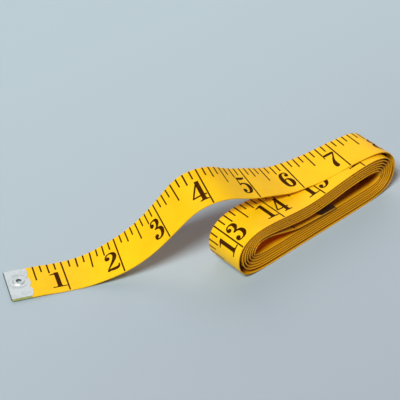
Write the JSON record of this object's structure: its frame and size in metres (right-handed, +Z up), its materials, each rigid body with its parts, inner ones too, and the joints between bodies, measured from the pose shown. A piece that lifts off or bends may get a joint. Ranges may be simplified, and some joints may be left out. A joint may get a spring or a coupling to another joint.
{
  "type": "soft tape measure",
  "caption": "Soft sewing tape measure wound into a flat hank, with a free end that arches down to the table and ends in a folded metal tip with an eyelet.",
  "frame": {"origin": "on the table, under the middle of the wound hank", "axes": "+X along the hank, away from the free end's tip; +Y across it, towards the side that the free end lies on; +Z up from the table"},
  "size_m": [0.1792, 0.0733, 0.0423],
  "materials": {
    "tape": "yellow vinyl-coated fibreglass ribbon, satin, with a dark printed scale on both faces",
    "tip": "nickel-plated stamped sheet, soft satin",
    "eyelet": "nickel-plated rolled eyelet"
  },
  "bodies": {
    "hank": {"tape_hank": "tape", "rear_tip": "tip", "rear_eyelet": "eyelet"},
    "arch": {"tape_arch": "tape"},
    "flat_end": {"tape_end": "tape", "front_tip": "tip", "front_eyelet": "eyelet"}
  },
  "joints": [
    {"name": "free_end_lift", "type": "hinge", "parent": "hank", "child": "arch", "pos_m": [0.00001, 0.008, 0.02347], "axis": [0.1564, 0.9877, 0], "range_deg": [0, 60]},
    {"name": "tip_curl", "type": "hinge", "parent": "arch", "child": "flat_end", "pos_m": [-0.09057, 0.03874, 0.00259], "axis": [0.4763, 0.8761, 0.0742], "range_deg": [0, 60]}
  ]
}
